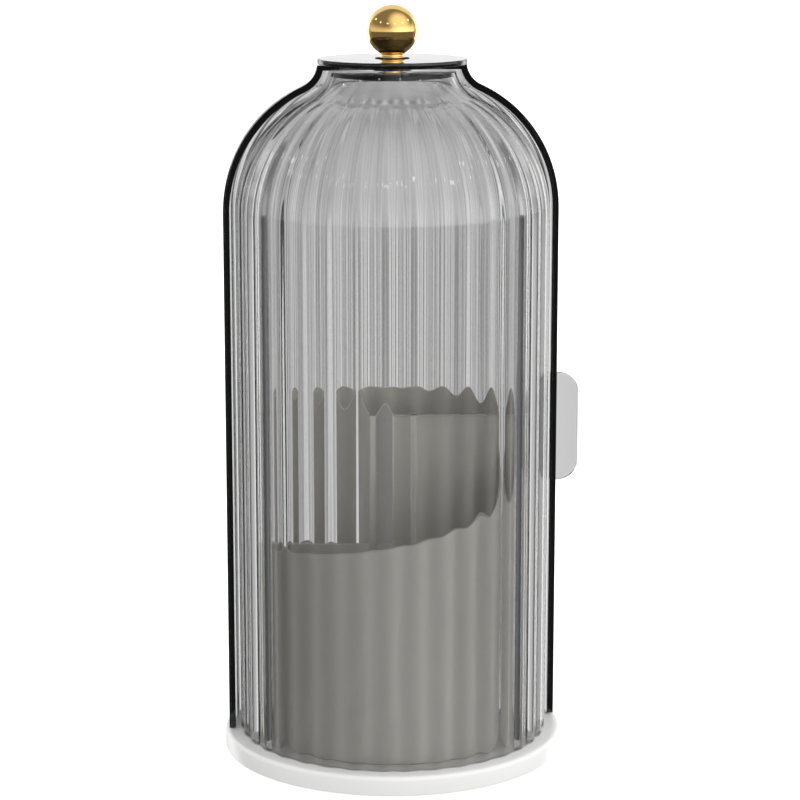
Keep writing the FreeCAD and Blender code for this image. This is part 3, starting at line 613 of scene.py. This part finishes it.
def studio_front(tree, direction, azimuth, elevation):
    """Towards the camera: a dark table, a low band of windows, a dim ceiling with a soft key light
    and a row of small lamps."""
    table, ceiling, windows, key, lamps = 0.17, 0.26, 1.3, 1.05, 7.0
    key_azimuth, key_elevation, key_width = 42 * DEGREE, 38 * DEGREE, 58 * DEGREE
    lamps_round, lamps_offset, lamps_elevation = 9.0, -2.4, 33

    above = tree.turn_step(elevation, -4.2, -3.2, 0.0, 1.0)
    fade = tree.turn_step(elevation, 0.0, 24, windows - ceiling, 0.0)
    side = tree.turn_step(azimuth, -50, 50, 0.6, 1.3)
    band = tree.maths("MULTIPLY", side, fade)

    towards_key = tree.nodes.new("ShaderNodeVectorMath")
    towards_key.operation = "DOT_PRODUCT"
    tree.links.new(direction, towards_key.inputs[0])
    towards_key.inputs[1].default_value = at_angle(math.cos(key_elevation), key_azimuth,
                                                   math.sin(key_elevation))
    glow = tree.step(towards_key.outputs["Value"], math.cos(key_width), 1.0, 0.0, key)

    comb = tree.maths("COSINE", tree.maths("MULTIPLY_ADD", azimuth, lamps_round, lamps_offset))
    lamp = tree.maths("MULTIPLY", tree.step(comb, 0.9, 0.97, 0.0, lamps),
                      tree.turn_step(tree.off(elevation, lamps_elevation), 1, 2.5, 1.0, 0.0))
    lights = tree.maths("ADD", tree.maths("ADD", band, glow), tree.maths("ADD", lamp, ceiling - table))
    return tree.maths("MULTIPLY_ADD", above, lights, table)


def studio_back(tree, across, back, azimuth, elevation):
    """Behind: a white wall, brighter just above the horizon and lit in even stripes lower down,
    which the flutes repeat as fine lines. Left and right of straight behind stand two bright upright
    panels, with dark curtains beyond them."""
    stripe, wall, contrast, strip, panels, curtain = 22.5, 0.96, 0.4, 0.3, 1.4, -0.5
    strip_elevation, curtain_azimuth = 4, 70

    wave = tree.maths("COSINE", tree.maths("MULTIPLY", azimuth, 360.0 / stripe))
    depth = tree.maths("MULTIPLY", tree.turn_step(elevation, -8.6, -6.4, contrast, 0.0),
                       tree.turn_step(elevation, -40, -20, 0.0, 1.0))
    lit_strip = tree.turn_step(tree.off(elevation, strip_elevation), 1.5, 4, strip, 0.0)

    off_centre = tree.maths("ARCTAN2", tree.maths("ABSOLUTE", across), back)
    panel = tree.maths("MULTIPLY", tree.turn_step(off_centre, 27, 32, 0.0, panels),
                       tree.turn_step(off_centre, 42, 48, 1.0, 0.0))
    low_panel = tree.maths("MULTIPLY", panel, tree.turn_step(elevation, 0, 30, 1.0, 0.0))
    curtains = tree.turn_step(tree.off(off_centre, curtain_azimuth), 18, 24, curtain, 0.0)

    hangings = tree.maths("ADD", low_panel, curtains)
    level = tree.maths("ADD", lit_strip, tree.maths("ADD", hangings, wall))
    return tree.maths("MULTIPLY_ADD", wave, depth, level)


def matt_light(tree, path, across, azimuth, elevation):
    """A soft box for matt surfaces, stronger from above and from the right. Those behind the smoked
    shells get an upright lamp as well, which the flutes focus into soft bands."""
    lamp, lamp_azimuth, beside_lamp = 2.4, 20, 0.04
    soft = tree.maths("MULTIPLY", tree.step(across, -1.0, 1.0, 0.78, 1.26),
                      tree.turn_step(elevation, -40, 50, 0.75, 1.35))
    shaded = tree.is_set(path.outputs["Transmission Depth"])
    upright = tree.turn_step(tree.off(azimuth, lamp_azimuth), 10, 16, lamp, beside_lamp)
    return tree.maths("MULTIPLY", soft, tree.maths("MULTIPLY_ADD", shaded, upright, 1.0))


def make_light():
    """A studio all round, as polished surfaces and the clear plastic show it. The camera itself
    sees plain white."""
    plain_white, back_start, back_full = 1.1, 0.35, 0.5
    world = bpy.data.worlds.new("studio")
    bpy.context.scene.world = world
    tree = WorldNodes(world)
    direction = tree.nodes.new("ShaderNodeTexCoord").outputs["Generated"]
    split = tree.nodes.new("ShaderNodeSeparateXYZ")
    tree.links.new(direction, split.inputs[0])
    across, back, up = split.outputs
    elevation = tree.maths("ARCSINE", up)
    # azimuth 0 is towards the camera, positive to the right
    azimuth = tree.maths("ARCTAN2", across, tree.maths("MULTIPLY", back, -1.0))

    front = studio_front(tree, direction, azimuth, elevation)
    lit_wall = studio_back(tree, across, back, azimuth, elevation)
    room = tree.blend(tree.step(back, back_start, back_full, 0.0, 1.0), front, lit_wall)
    # light that comes straight through the plastic meets the white wall on every side
    path = tree.nodes.new("ShaderNodeLightPath")
    reflected = tree.is_set(path.outputs["Glossy Depth"])
    studio = tree.blend(reflected, lit_wall, room)
    lit = tree.blend(tree.is_set(path.outputs["Diffuse Depth"]), studio,
                     matt_light(tree, path, across, azimuth, elevation))
    seen = tree.blend(path.outputs["Is Camera Ray"], lit, plain_white)
    background = tree.nodes["Background"]
    background.inputs["Color"].default_value = (1.0, 1.0, 1.0, 1.0)
    tree.links.new(seen, background.inputs["Strength"])


def make_floor():
    """A plain white light table. The plastic and the gold don't pick it up."""
    size = 12.0
    points = [(-size, -size, 0), (size, -size, 0), (size, size, 0), (-size, size, 0)]
    floor = make_mesh("floor", points, [(0, 1, 2, 3)])
    material, nodes, links, shader = new_material("floor")
    shader.inputs["Base Color"].default_value = (0.9, 0.9, 0.9, 1.0)
    shader.inputs["Roughness"].default_value = 0.8
    shader.inputs["Emission Color"].default_value = (1.0, 1.0, 1.0, 1.0)
    shader.inputs["Emission Strength"].default_value = 0.6
    floor.data.materials.append(material)
    floor.visible_diffuse = False
    floor.visible_glossy = False
    floor.visible_transmission = False


def set_look():
    scene = bpy.context.scene
    scene.view_settings.view_transform = "Standard"
    scene.cycles.max_bounces = 20
    scene.cycles.transmission_bounces = 20


make_camera()
materials = make_materials()
make_base(materials)
make_cup(materials)
make_divider(materials)
make_shells(materials)
make_disc(materials)
make_knob(materials)
paint_cad_nodes(materials)
make_light()
make_floor()
set_look()
